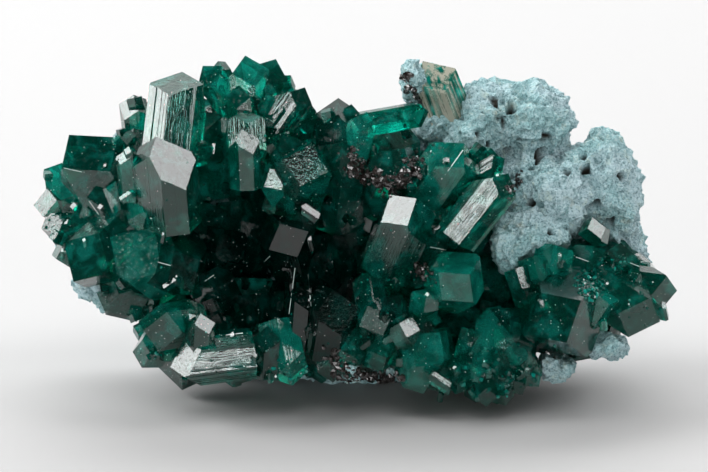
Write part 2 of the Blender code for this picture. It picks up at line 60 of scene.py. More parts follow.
# Each crystal: name, piece, then either u, v and depth (mm) of the tip, lean,
# tip and turn of the c axis, radius in picture units and length in mm, or the
# four corners of its clear rhomb face, the way its prism runs down, depth and
# length.  A last entry sets how far single faces stand in.
CRYSTALS = [
    # ground mass
    ("F1", MASS, 62, 168, 0.5, -60, 22, 38, 52, 8),
    ("F2", MASS, 38, 228, 0.5, -95, 5, 64, 44, 8),
    ("F3", MASS, 70, 278, 0.0, -125, 12, 58, 44, 8),
    ("F4", MASS, 150, 366, 0.5, -145, 12, 66, 46, 8),
    ("F5", MASS, 237, 388, 0.5, 178, 5, 55, 46, 8),
    ("F6", MASS, 190, 185, 1.2, -20, 62, 62, 60, 9),
    ("F7", MASS, 260, 235, 0.6, 0, 64, 66, 70, 9),
    ("F8", MASS, 183, 86, -1.0, -8, -4, 8, 48, 9),
    ("F9", MASS, 270, 68, -1.0, 10, -2, 34, 38, 9),
    ("F10", MASS, 333, 102, -0.5, 5, -4, 22, 44, 9),
    ("F11", MASS, 350, 230, 1.6, 0, 62, 64, 62, 9),
    ("F12", MASS, 324, 388, 0.0, 178, 8, 58, 46, 8),
    ("F13", MASS, 425, 235, 2.2, 20, 60, 54, 58, 9),
    ("F14", MASS, 426, 382, 0.5, 172, 12, 62, 44, 8),
    ("F15", MASS, 500, 315, 2.0, 150, 65, 0, 58, 9),
    ("F16", MASS, 618, 358, 0.0, 138, 10, 58, 50, 9),
    ("F17", MASS, 565, 262, 2.2, 20, 55, 62, 42, 8),
    ("F18", MASS, 676, 284, 0.0, 95, 4, 34, 38, 9),
    ("F19", MASS, 488, 406, 1.5, 176, 8, 64, 36, 7),
    ("F20", MASS, 440, 175, 1.2, 25, 45, 64, 42, 8),
    ("F21", MASS, 150, 235, 2.2, -40, 60, 62, 50, 9),
    ("F22", MASS, 396, 108, 0.0, 20, -4, 26, 36, 8),
    ("F23", MASS, 228, 140, 1.0, -5, 48, 58, 50, 8),
    ("F24", MASS, 102, 316, 0.5, -135, 10, 60, 36, 8),
    ("F25", MASS, 184, 394, 0.5, -172, 5, 64, 36, 8),
    ("F26", MASS, 258, 190, 1.0, 0, 58, 56, 52, 8),
    ("F27", MASS, 668, 318, 0.5, 118, 5, 62, 34, 9),
    ("F28", MASS, 478, 182, 4.4, 30, 34, 58, 44, 8),
    ("F29", MASS, 452, 150, 2.6, 24, 30, 60, 38, 8),
    ("F34", MASS, 490, 198, 8.0, 38, 40, 25, 19, 6.5),
    ("F30", MASS, 492, 290, 1.8, 10, 45, 60, 38, 8),
    ("F31", MASS, 268, 282, 2.0, 0, 62, 60, 34, 8),
    ("F32", MASS, 256, 190, 2.2, 0, 60, 30, 34, 8),
    ("F33", MASS, 322, 232, 2.8, 0, 60, 30, 30, 8),
    # upper left
    ("T1", MASS, (183, 71), (174, 95), (151, 83), (205, 87), (0.03, 1), 4.0, 7),
    ("L1", MASS, (132, 96), (122, 122), (119, 103), (140, 109), (0.10, 1), 2.0, 6),
    ("K1", MASS, (155, 136), (181, 186), (147, 171), (194, 153), (0.11, 1), 9.0, 7, {4: 0.40, 3: 0.15}),
    ("M1", MASS, 244, 109, 5.6, -3, -24, 12, 20, 3.6),
    ("M1b",MASS, 243, 128, 8.0, -2, 12, 35, 16, 4.5),
    ("T2", MASS, 201, 65, 3.0, -38, 10, 0, 18, 6),
    ("T2b",MASS, 240, 84, 4.5, -5, 10, -20, 16, 5),
    ("T3", MASS, 244, 53, 3.0, -2, 5, 30, 25, 6),
    ("T3b", MASS, 278, 58, 2.0, 22, 12, 0, 20, 6),
    ("T4", MASS, 305, 85, 4.6, 36, 5, 32, 19, 4.4),
    ("T4b",MASS, 268, 92, 5.0, -10, 20, 0, 16, 5),
    ("T5", MASS, 338, 95, 3.0, 0, 4, -60, 28, 6),
    ("T5b",MASS, 352, 103, 3.5, 5, 10, -10, 14, 6),
    ("T6", MASS, 298, 86, 3.0, 15, 15, 10, 26, 6),
    ("L2", MASS, 68, 131, 2.5, -30, 10, 20, 40, 6),
    ("L2b", MASS, 40, 170, 2.0, -62, 10, -10, 29, 6),
    ("L3", MASS, 32, 204, 2.0, -85, 8, 15, 17, 6),
    ("L3b",MASS, 40, 230, 3.0, -100, 20, 30, 18, 6),
    ("L4", MASS, 54, 258, 5.0, -115, 40, -15, 22, 6),
    ("L5", MASS, 70, 282, 6.5, -135, 28, 25, 31, 6),
    ("L6", MASS, 112, 236, 7.5, -50, 50, 8, 34, 7),
    ("L7", MASS, 86, 196, 5.5, -60, 45, 60, 26, 6),
    ("L8", MASS, 116, 180, 6.0, -20, 35, 50, 24, 6),
    ("L9", MASS, 126, 148, 7.5, -5, 16, -41, 11, 4),
    ("L10",MASS, 132, 126, 4.0, -15, 25, 30, 24, 6),
    ("L11", MASS, 140, 192, 7.0, -12, 35, 62, 20, 6),
    # lower left
    ("B1", MASS, 104, 314, 4.0, -140, 20, 58, 28, 6),
    ("B2", MASS, 165, 285, 8.0, -150, 62, -40, 30, 7),
    ("B3", MASS, (144, 331), (182, 334), (165, 314), (158, 352), (1, -0.15), 9.0, 5),
    ("B4", MASS, 201, 312, 9.0, 4, 17, 36, 14, 4),
    ("B5", MASS, 168, 366, 8.0, -97, 5, 25, 24, 6.4),
    ("B6", MASS, 236, 342, 8.0, 10, 62, 60, 22, 4),
    ("B7", MASS, 232, 390, 5.0, 176, 0, -15, 24, 4.5),
    ("B8", MASS, 268, 325, 7.5, 5, 25, 0, 16, 4),
    ("B9", MASS, 292, 388, 6.0, 168, 12, 60, 24, 5),
    ("B10", MASS, 142, 370, 5.0, -150, 15, 52, 20, 5),
    ("B11",MASS, 332, 384, 5.0, 175, 8, 0, 16, 5),
    ("B12", MASS, 350, 380, 6.0, 178, 15, 40, 20, 5),
    ("B13", MASS, 384, 375, 6.0, 172, 15, 40, 20, 5),
    ("B14", MASS, 448, 397, 5.5, 166, 10, 35, 18, 5),
    # middle
    ("K2", MASS, 222, 226, 5.2, 5, 52, 52, 26, 6),
    ("K3", MASS, 205, 270, 5.6, -20, 52, 66, 26, 6),
    ("K4", MASS, 205, 200, 4.2, 10, 40, 58, 24, 6),
    ("K5", MASS, 215, 148, 6.0, 80, 15, 30, 16, 5),
    ("K6", MASS, 240, 200, 3.6, 0, 48, 64, 30, 6),
    ("M2", MASS, 311, 141, 8.6, 18, 42, 5, 30, 7),
    ("M2b",MASS, 285, 132, 7.0, -5, 35, 30, 24, 6),
    ("M2c",MASS, 268, 168, 7.5, -30, 45, 0, 17, 5),
    ("M3", MASS, (280, 225), (297, 259), (267, 250), (307, 231), (0.25, 1), 8.0, 6),
    ("M4", MASS, 300, 208, 5.6, 15, 55, 56, 22, 5),
    ("M5", MASS, 255, 290, 5.4, -5, 50, 62, 30, 6),
    ("M6", MASS, 302, 285, 7.0, 5, 25, 30, 15, 5),
    ("M7", MASS, 335, 288, 8.5, 10, 44, 30, 27, 6),
    ("M8", MASS, 336, 232, 5.0, 10, 40, 66, 28, 6),
    ("M9", MASS, 345, 140, 5.5, 8, 30, 60, 28, 7),
    ("M10",MASS, 366, 110, 5.0, 15, 20, 0, 15, 5),
    ("M11",MASS, 430, 112, 4.0, 80, 5, 10, 14, 6),
    ("M12", MASS, 405, 148, 6.5, 25, 44, -12, 27, 6),
    ("M13", MASS, 362, 195, 4.6, 0, 36, 58, 26, 6),
    # centre
    ("C1", MASS, (415, 198), (378, 224), (408, 229), (391, 195), (-0.45, 1), 9.5, 7),
    ("C2", MASS, 464, 140, 7.5, 35, 30, -20, 25, 6),
    ("C2b",MASS, 435, 160, 6.5, 20, 50, -20, 20, 5),
    ("C3", MASS, 470, 272, 10.0, 60, 68, 20, 30, 6),
    ("C4", MASS, 425, 296, 8.5, 0, 70, 52, 16, 5),
    ("C5", MASS, 380, 296, 8.6, -30, 46, 30, 18, 5),
    ("C6", MASS, 398, 322, 9.0, -35, 50, 52, 15, 5),
    ("C7", MASS, 382, 338, 8.0, 170, 35, 20, 20, 5),
    ("C8", MASS, 442, 332, 8.5, 30, 42, -12, 24, 5),
    ("C9", MASS, 436, 386, 6.0, 158, 12, 62, 22, 5),
    ("C10", MASS, 398, 368, 5.0, 175, 15, 58, 18, 5),
    ("C11", MASS, 430, 225, 7.0, 10, 36, 56, 22, 6),
    ("C12", MASS, 350, 335, 7.0, 0, 65, 62, 24, 4.5),
    ("C13", MASS, 447, 208, 6.5, 20, 30, 60, 18, 5),
    # right
    ("W1", MASS, 509, 171, 9.5, 38, 12, 25, 21, 6.4),
    ("W2", MASS, 506, 158, 7.0, 60, 15, 0, 12, 5),
    ("W3", MASS, 492, 146, 6.0, 20, 30, 30, 16, 5),
    ("R1", MASS, 570, 345, 10.5, 172, 60, 28, 42, 7),
    ("R2", MASS, 612, 304, 8.5, 90, 58, 10, 25, 6),
    ("R3", MASS, 679, 291, 4.0, 97, 5, 15, 21, 6),
    ("R4", MASS, 662, 324, 6.0, 122, 18, 25, 28, 6),
    ("R5", MASS, 640, 256, 5.0, 60, 30, 62, 22, 6),
    ("R6", MASS, 590, 285, 7.5, 40, 46, 60, 24, 5),
    ("R7", MASS, 556, 243, 6.5, 10, 45, 56, 22, 5),
    ("R8", MASS, 534, 255, 7.0, -10, 45, 64, 20, 5),
    ("R9", MASS, 516, 268, 7.5, -20, 50, 58, 16, 5),
    ("R10", MASS, 592, 245, 6.0, 15, 40, 60, 20, 5),
    ("R11", MASS, 510, 305, 6.5, 0, 52, 62, 28, 6),
    ("R12", MASS, 545, 287, 8.0, -15, 45, 58, 24, 5),
    # bottom right
    ("D1", MASS, 500, 350, 7.5, 5, 50, 64, 20, 4.5),
    ("D2", MASS, 520, 366, 7.0, 150, 35, 58, 17, 5),
    ("D3", MASS, 478, 384, 7.0, -170, 30, 52, 17, 5),
    ("D4", MASS, 506, 407, 6.0, 168, 8, 56, 13, 5),
    ("D5", MASS, 456, 396, 6.0, -165, 10, 62, 15, 5),
    ("D6", MASS, 540, 388, 6.0, 150, 15, 15, 13, 4),
    ("D7", MASS, 468, 352, 7.0, -30, 50, 60, 18, 5),
    ("D8", MASS, 524, 322, 7.0, 20, 46, 62, 18, 5),
    ("D9", MASS, 476, 404, 5.0, 178, 8, 60, 12, 4),
    ("D11",MASS, 524, 396, 5.5, 160, 10, 20, 13, 4),
    ("D10",MASS, 486, 408, 6.5, 178, 10, 0, 12, 4),
    # on the matrix
    ("TR", TOP, 424, 58, -1.0, -22, 8, 10, 28, 5.8),
    ("S1", LONE, 588, 229, 5.2, -65, 68, 45, 14, 2.5),
]

# The rock, as overlapping lumps: u, v, depth, half width and half height in
# picture units, half depth in mm.
ROCK = [
    (504, 122, -2.0, 52, 42, 4.5), (478, 134, -1.5, 34, 30, 4.0), (540, 124, -2.5, 34, 42, 4.2),
    (596, 180, -1.0, 40, 47, 4.5), (560, 198, 0.5, 38, 38, 4.5), (608, 205, -1.0, 28, 38, 4.0),
    (530, 235, 3.0, 36, 26, 3.6), (505, 250, 4.2, 16, 24, 3.0), (525, 190, -1.0, 40, 40, 4.0),
    (440, 120, -3.0, 30, 24, 3.5),
    (300, 230, -6.2, 225, 118, 5.0), (560, 250, -4.5, 84, 92, 5.5),
    (350, 316, -6.5, 200, 68, 5.5), (200, 200, -4.0, 130, 88, 5.0),
    (92, 285, 1.2, 17, 9, 2.3), (557, 364, 3.6, 19, 12, 2.8), (606, 347, 3.4, 22, 12, 3.2),
    (412, 80, 1.0, 11, 20, 2.0), (432, 98, -2.6, 22, 26, 2.0), (352, 370, 4.0, 9, 10, 2.5),
]

# How strongly the prism faces of single crystals are striated.
STRIATED = {"T1": 2.2, "W1": 2.4, "T4": 2.0, "T2": 1.6, "B5": 2.4,
            "B7": 1.6, "M8": 1.8, "M7": 1.4, "TR": 2.0, "K1": 1.0,
            "C1": 1.0, "K5": 1.8, "C7": 1.6}


# ---------------------------------------------------------------- geometry
def to_world(a, b, c):
    """Front-view right, up and towards the viewer -> world x, y, z."""
    return np.array([a,
                     b * math.sin(LOOK) - c * math.cos(LOOK),
                     b * math.cos(LOOK) + c * math.sin(LOOK)])


def spot(u, v, depth_mm):
    """World point that shows at u, v in the front view."""
    c = depth_mm * 1e-3
    k = (EYE - c) / EYE
    return to_world((u - MID_U) * UNIT * k,
                    (MID_V - v) * UNIT * k + (BASE_V - MID_V) * UNIT,
                    c) + SHIFT


EYE_AT = Vector(to_world(0, (BASE_V - MID_V) * UNIT, EYE) + SHIFT)
TO_EYE = Vector(to_world(0, 0, 1))


def view_axes(lean, tip, turn):
    l, t, w = np.radians(lean), np.radians(tip), np.radians(turn)
    A = np.stack([np.cos(t) * np.sin(l), np.cos(t) * np.cos(l), np.sin(t)], -1)
    E = np.stack([-np.sin(t) * np.sin(l), -np.sin(t) * np.cos(l), np.cos(t)], -1)
    F = np.cross(A, E)
    X = np.cos(w)[..., None] * E + np.sin(w)[..., None] * F
    return A, X, np.cross(A, X)


def from_corners(tip, foot, side1, side2, down):
    """Lean, tip, turn, radius and tip position of the crystal whose rhomb
    face shows these corners, by a search over directions."""
    q = np.array([tip, foot, side1, side2], float)
    q[:, 1] *= -1
    dn = np.array([down[0], -down[1]], float)
    dn /= np.linalg.norm(dn)
    h = math.tan(RHOMB)
    best = [None]

    def search(ls, ts, ws):
        L, T, W = (g.ravel() for g in np.meshgrid(ls, ts, ws, indexing="ij"))
        A, X, Y = view_axes(L, T, W)
        for sg in (1, -1):
            loc = np.array([[0, 0, 0], [1, 0, -h],
                            [0.5, 0.866 * sg, -h / 2],
                            [0.5, -0.866 * sg, -h / 2]])
            P = (loc[None, :, 0, None] * X[:, None]
                 + loc[None, :, 1, None] * Y[:, None]
                 + loc[None, :, 2, None] * A[:, None])[..., :2]
            pm, qm = P - P.mean(1, keepdims=True), q - q.mean(0)
            R = (pm * qm).sum((1, 2)) / (pm ** 2).sum((1, 2))
            err = ((pm * R[:, None, None] - qm) ** 2).sum((1, 2))
            m = -A[:, :2]
            mn = np.linalg.norm(m, axis=1) + 1e-6
            err = err + 900 * (mn * (1 - (m @ dn) / mn)) ** 2
            err = err + 500 * (m @ np.array([dn[1], -dn[0]]) / (mn + 0.05)) ** 2
            facing = math.sin(RHOMB) * X[:, 2] + math.cos(RHOMB) * A[:, 2]
            err = err + np.where(facing < 0.1, 1e6, 0)
            err = err + np.where(R < 0, 1e6, 0) + 4.0 * (T < 0)
            i = int(np.argmin(err))
            if best[0] is None or err[i] < best[0][0]:
                o = q.mean(0) - R[i] * P[i].mean(0)
                best[0] = (err[i], L[i], T[i], W[i], R[i], o[0], -o[1])

    search(np.arange(-180, 180, 6.0), np.arange(-42, 79, 6.0),
           np.arange(-60, 60, 6.0))
    for step in (2.0, 0.5):
        _, l, t, w = best[0][:4]
        g = np.arange(-3, 4) * step
        search(l + g, np.clip(t + g, -45, 80), w + g)
    return best[0][1:]


def uneven(name):
    h = sum((i + 3) * ord(ch) for i, ch in enumerate(name))
    return ([0.06 * (math.sin(h * 1.7 + k * 2.3) + 1) for k in range(3)],
            [0.10 * math.sin(h * 1.7 + (k + 5) * 2.3) for k in range(6)])


def form(row):
    """Tip, axes, radius, length and face offsets of one crystal."""
    name, rest = row[0], row[2:]
    dr, dp = uneven(name)
    own = {}
    if isinstance(rest[-1], dict):
        own, rest = rest[-1], rest[:-1]
    if isinstance(rest[0], tuple):
        lean, tip, turn, rad, u, v = from_corners(*rest[:5])
        depth, length = rest[5:7]
        dr = [0, 0, 0]
    else:
        u, v, depth, lean, tip, turn, rad, length = rest
    for k, x in own.items():
        if k < 6:
            dp[k] = x
        else:
            dr[k - 6] = x
    A, X, Y = (to_world(*a) for a in view_axes(lean, tip, turn))
    R = rad * UNIT
    return dict(name=name, top=spot(u, v, depth), A=A, X=X, Y=Y, R=R,
                L=length * 1e-3, dr=[d * R for d in dr],
                dp=[R * math.cos(math.radians(30)) * (1 - d) for d in dp])


def section(f, strength, rng):
    """The prism's outline across the c axis, as 2-D points.  Striated sides
    are broken into strips that stand in by differing, tiny amounts."""
    pts = [np.array(p) * 0.02 for p in ((1, 1), (-1, 1), (-1, -1), (1, -1))]
    lines = [(np.array([math.cos(math.radians(30 + 60 * k)),
                        math.sin(math.radians(30 + 60 * k))]), f["dp"][k])
             for k in range(6)]
    for m, r in lines:
        new = []
        for i, p in enumerate(pts):
            q = pts[(i + 1) % len(pts)]
            dp, dq = m @ p - r, m @ q - r
            if dp <= 1e-9:
                new.append(p)
            if dp * dq < 0:
                new.append(p + (q - p) * (dp / (dp - dq)))
        pts = new
    out = []
    for i, p in enumerate(pts):
        q = pts[(i + 1) % len(pts)]
        s = np.linalg.norm(q - p)
        if s < 2e-5:
            continue
        if strength <= 0 or s < 3.0e-4:
            out.append(p)
            continue
        inward = -np.array([(q - p)[1], -(q - p)[0]]) / s
        width = rng.uniform(1.0e-4, 2.6e-4) * (1.6 if strength < 1 else 1.0)
        n = max(2, min(14, int(s / width)))
        cuts = sorted(rng.uniform(0.06, 0.94) for _ in range(n - 1))
        cuts = [0.0] + [c for i2, c in enumerate(cuts)
                        if i2 == 0 or c - cuts[i2 - 1] > 3e-5 / s] + [1.0]
        level = 0.0
        for j in range(len(cuts) - 1):
            a = 0.0 if j == 0 else level + rng.uniform(0.4, 1.0) * 1.6e-5
            b = 0.0 if j == len(cuts) - 2 else a + rng.uniform(-0.6, 0.6) * 9e-6
            a, b = max(0.0, a) * strength, max(0.0, b) * strength
            out.append(p + (q - p) * cuts[j] + inward * a)
            if j < len(cuts) - 2:
                out.append(p + (q - p) * cuts[j + 1] + inward * b)
            level = rng.choice((0.0, 0.6e-5, 1.4e-5, 2.4e-5))
    keep = []
    for p in out:
        if not keep or np.linalg.norm(p - keep[-1]) > 4e-6:
            keep.append(p)
    return keep


# Where the crystals get a painted glow, a bright teal body colour standing for light let through: u, v
# and reach.
PAINTED_GLOW_SPOTS = [(72, 242, 16), (276, 168, 15), (150, 354, 14), (292, 376, 22),
         (480, 386, 16), (516, 380, 16), (616, 304, 20), (556, 240, 16),
         (373, 144, 10), (112, 236, 14), (470, 272, 12), (464, 140, 14),
         (366, 112, 12), (50, 176, 12), (140, 190, 10), (534, 256, 10),
         (600, 262, 12), (252, 60, 12), (425, 296, 8), (442, 332, 9)]


def seen(co):
    """u and v at which a world point shows."""
    w = np.array(co) - SHIFT
    a = w[0]
    b = w[1] * math.sin(LOOK) + w[2] * math.cos(LOOK)
    c = -w[1] * math.cos(LOOK) + w[2] * math.sin(LOOK)
    k = (EYE - c) / EYE
    return (MID_U + a / (UNIT * k),
            MID_V - (b - (BASE_V - MID_V) * UNIT) / (UNIT * k))


def crystal_mesh(f, strength=0.0, seed=0):
    """The outline, drawn out along the c axis and cut by the rhomb faces."""
    rng = random.Random(f"{f['name']}-{seed}")
    A, X, Y, top, R = f["A"], f["X"], f["Y"], f["top"], f["R"]
    outline = section(f, strength, rng)
    bm = bmesh.new()
    kind = bm.faces.layers.float.new("kind")
    painted_light_and_tone = bm.faces.layers.float.new("painted_light_and_tone")
    axis = bm.faces.layers.float_vector.new("axis")
    lo = [bm.verts.new(top - A * f["L"] + X * p[0] + Y * p[1]) for p in outline]
    hi = [bm.verts.new(top + A * R * 0.8 + X * p[0] + Y * p[1]) for p in outline]
    n = len(outline)
    for i in range(n):
        j = (i + 1) % n
        bm.faces.new((lo[i], lo[j], hi[j], hi[i]))
    bm.faces.new(hi)
    bm.faces.new(lo[::-1])
    for k in range(3):
        az = math.radians(120 * k)
        m = (math.sin(RHOMB) * (math.cos(az) * X + math.sin(az) * Y)
             + math.cos(RHOMB) * A)
        cut = bmesh.ops.bisect_plane(
            bm, geom=bm.verts[:] + bm.edges[:] + bm.faces[:], dist=1e-8,
            plane_co=Vector(top - m * f["dr"][k]), plane_no=Vector(m),
            clear_outer=True)
        rim = [g for g in cut["geom_cut"] if isinstance(g, bmesh.types.BMEdge)]
        if rim:
            bmesh.ops.contextual_create(bm, geom=rim)
    bmesh.ops.recalc_face_normals(bm, faces=bm.faces)
    bm.normal_update()
    # painted shade and glow: crystals in the middle recess get a dark tone, those further out a lighter
    # one, and those at the glow spots a bright one; a random part varies the rest
    u0, v0 = seen(f["top"])
    out = math.hypot((u0 - 282) / 140.0, (v0 - 248) / 92.0)
    out = min(1.0, max(0.0, (out - 0.55) / 0.70))
    painted_shade_and_glow = min(0.8, out * (0.40 + 0.45 * rng.random()) + 0.08 * rng.random())
    if any(math.hypot(u0 - u, v0 - v) < r for u, v, r in PAINTED_GLOW_SPOTS):
        painted_shade_and_glow = 0.86 + 0.14 * rng.random()
    for fc in bm.faces:
        d = fc.normal.dot(Vector(A))
        fc[kind] = 0.0 if d > 0.3 else 1.0 if d > -0.7 else 2.0
        fc[painted_light_and_tone] = painted_shade_and_glow
        fc[axis] = Vector(A)
    bad = any(len(e.link_faces) != 2 for e in bm.edges)
    if bad and strength > 0:
        bm.free()
        return crystal_mesh(f, 0.0, seed)
    me = bpy.data.meshes.new(f["name"])
    bm.to_mesh(me)
    bm.free()
    return me


def side_growths(f, count):
    """Smaller individuals in parallel growth along the prism."""
    rng = random.Random("side-" + f["name"])
    out = []
    for k in range(count):
        az = math.radians(60 * rng.randrange(6) + 30 + rng.uniform(-22, 22))
        r = f["R"] * rng.uniform(0.26, 0.46)
        reach = f["R"] * 0.866 * rng.uniform(1.02, 1.10) - r * 0.866
        lower = f["R"] * rng.uniform(1.15, 2.4)
        top = (f["top"] + f["X"] * math.cos(az) * reach
               + f["Y"] * math.sin(az) * reach - f["A"] * lower)
        g = dict(f, name=f"{f['name']}_{k}", top=top, R=r,
                 L=max(f["L"] - lower, 1.0e-3) * 0.9,
                 dr=[r * rng.uniform(0, 0.12) for _ in range(3)],
                 dp=[r * 0.866 * rng.uniform(0.85, 1.1) for _ in range(6)])
        out.append(g)
    return out


def small_crystal(name, at, A, r, L, rng):
    A = np.array(A, float)
    A /= np.linalg.norm(A)
    h = np.cross(A, np.array([0.3, 0.5, 0.8]))
    h /= np.linalg.norm(h)
    w = rng.uniform(0, 2 * math.pi)
    X = math.cos(w) * h + math.sin(w) * np.cross(A, h)
    return dict(name=name, top=np.array(at), A=A, X=X, Y=np.cross(A, X), R=r,
                L=L, dr=[r * rng.uniform(0, 0.15) for _ in range(3)],
                dp=[r * 0.866 * rng.uniform(0.8, 1.1) for _ in range(6)])


def mirror_crystal(name, at, r, az, el, roll):
    """A small crystal with one rhomb face centred at a point and turned so
    that it mirrors what lies towards az, el."""
    a, e = math.radians(az), math.radians(el)
    to = np.array([math.sin(a) * math.cos(e), -math.cos(a) * math.cos(e),
                   math.sin(e)])
    m = to + np.array(TO_EYE)
    m /= np.linalg.norm(m)
    h = np.cross(m, to_world(0, 1, 0.2))
    h /= np.linalg.norm(h)
    w = math.radians(roll)
    t = math.cos(w) * h + math.sin(w) * np.cross(m, h)
    A = math.cos(RHOMB) * m + math.sin(RHOMB) * t
    X = math.sin(RHOMB) * m - math.cos(RHOMB) * t
    top = np.array(at) - r * (0.5 * X - 0.5 * math.tan(RHOMB) * A)
    rng = random.Random(name)
    return dict(name=name, top=top, A=A, X=X, Y=np.cross(A, X), R=r, L=r * 3.4,
                dr=[0, r * rng.uniform(0, 0.2), r * rng.uniform(0, 0.2)],
                dp=[r * 0.866 * rng.uniform(0.75, 1.05) for _ in range(6)])


# ---------------------------------------------------------------- modelling
COLL = bpy.context.scene.collection


def add(name, mesh, coll=None):
    ob = bpy.data.objects.new(name, mesh)
    (coll or COLL).objects.link(ob)
    return ob


def evaluated(ob):
    dg = bpy.context.evaluated_depsgraph_get()
    return bpy.data.meshes.new_from_object(ob.evaluated_get(dg))


def tree_of(meshes):
    verts, faces, k = [], [], 0
    for me in meshes:
        verts += [v.co.copy() for v in me.vertices]
        faces += [[i + k for i in p.vertices] for p in me.polygons]
        k = len(verts)
    return BVHTree.FromPolygons(verts, faces)


def shells(bm):
    left, out = set(bm.faces), []
    while left:
        todo = [left.pop()]
        shell = []
        while todo:
            f = todo.pop()
            shell.append(f)
            for e in f.edges:
                for g in e.link_faces:
                    if g in left:
                        left.discard(g)
                        todo.append(g)
        out.append(shell)
    return out


def shell_volume(faces):
    vol = 0.0
    for f in faces:
        c = [v.co for v in f.verts]
        for i in range(1, len(c) - 1):
            vol += c[0].dot(c[i].cross(c[i + 1])) / 6.0
    return vol


def one_body(mesh, label):
    """The largest closed shell, its double points merged."""
    best = None
    for dist in (1.5e-6, 5e-7, 3e-6, 1e-7, 6e-6):
        bm = bmesh.new()
        bm.from_mesh(mesh)
        bmesh.ops.remove_doubles(bm, verts=bm.verts, dist=dist)
        bmesh.ops.dissolve_degenerate(bm, edges=bm.edges, dist=dist)
        sets = sorted(shells(bm), key=shell_volume, reverse=True)
        bmesh.ops.delete(bm, geom=[f for s in sets[1:] for f in s],
                         context="FACES")
        bmesh.ops.triangulate(bm, faces=bm.faces)
        bad = sum(len(e.link_faces) != 2 for e in bm.edges)
        print(label, "faces", len(bm.faces), "open edges", bad,
              "shells", len(sets), "merged at", dist)
        if best is None or bad < best[0]:
            if best:
                best[1].free()
            best = (bad, bm)
        else:
            bm.free()
        if not bad:
            break
    best[1].to_mesh(mesh)
    best[1].free()
    return mesh


def grow_together(meshes, name):
    cell = bpy.data.collections.new(name + "_cells")
    COLL.children.link(cell)
    obs = [add(name + "_part", me, cell) for me in meshes]
    first = obs[0]
    if len(obs) > 1:
        cell.objects.unlink(first)
        COLL.objects.link(first)
        m = first.modifiers.new("solid", "BOOLEAN")
        m.operation, m.solver = "UNION", "EXACT"
        m.operand_type, m.collection = "COLLECTION", cell
    me = evaluated(first)
    for o in obs:
        bpy.data.objects.remove(o)
    bpy.data.collections.remove(cell)
    me.name = name
    return add(name, one_body(me, name))


def ray(tree, u, v):
    """Depth of the surface in mm, and its normal, seen at u, v."""
    far = Vector(spot(u, v, -20.0))
    d = (far - EYE_AT).normalized()
    co, no, _, _ = tree.ray_cast(EYE_AT, d)
    return co, no


# ------------------------------------------------------- build the crystals
forms = {MASS: [], TOP: [], LONE: []}
meshes = {MASS: [], TOP: [], LONE: []}
for row in CRYSTALS:
    f = form(row)
    ground = row[0][0] == "F"
    s = STRIATED.get(row[0], 0.0)
    forms[row[1]].append(f)
    meshes[row[1]].append(crystal_mesh(f, s))
    if (row[1] == MASS and not ground and f["R"] > 17 * UNIT
            and row[0] not in ("T1", "B5", "K1")):
        for g in side_growths(f, 2 if f["R"] < 26 * UNIT else 3):
            meshes[MASS].append(crystal_mesh(g, s))

# small crystals in the hollows between the large ones
tree = tree_of(meshes[MASS])
rng = random.Random(41)
hits = {}
for iv in range(50, 410, 6):
    for iu in range(34, 680, 6):
        co, no = ray(tree, iu, iv)
        if co is not None:
            hits[iu, iv] = (co, no, (co - EYE_AT).dot(-TO_EYE))
# clear faces that stay free of small crystals
CLEAR = [(178, 82, 32, 16), (176, 112, 28, 28), (170, 162, 28, 28),
         (176, 215, 18, 36), (396, 216, 24, 34), (486, 206, 34, 38),
         (216, 366, 40, 16), (565, 330, 30, 26), (290, 240, 22, 18)]
cand = []
for (iu, iv), (co, no, far) in hits.items():
    if any(((iu - u) / a) ** 2 + ((iv - v) / b) ** 2 < 1
           for u, v, a, b in CLEAR):
        continue
    near = [hits[iu + a, iv + b][2] for a, b in
            ((12, 0), (-12, 0), (0, 12), (0, -12), (12, 12), (-12, -12))
            if (iu + a, iv + b) in hits]
    if len(near) >= 4 and far - sum(near) / len(near) > 4.5e-4:
        cand.append((iu, iv, co, no))
rng.shuffle(cand)
placed = []
for iu, iv, co, no in cand:
    if all((co - p).length > 1.5e-3 for p in placed) and len(placed) < 110:
        placed.append(co)
        r = rng.uniform(4.5, 10.0) * UNIT
        d = (np.array(no) * 0.5 + np.array(TO_EYE) * 0.5
             + np.array([rng.uniform(-1, 1) for _ in range(3)]) * 0.55)
        d /= np.linalg.norm(d)
        meshes[MASS].append(crystal_mesh(small_crystal(
            f"fill{len(placed)}", np.array(co) + d * r * rng.uniform(0.8, 1.5),
            d, r, r * 3.2, rng)))
print("small crystals", len(placed), "of", len(cand))

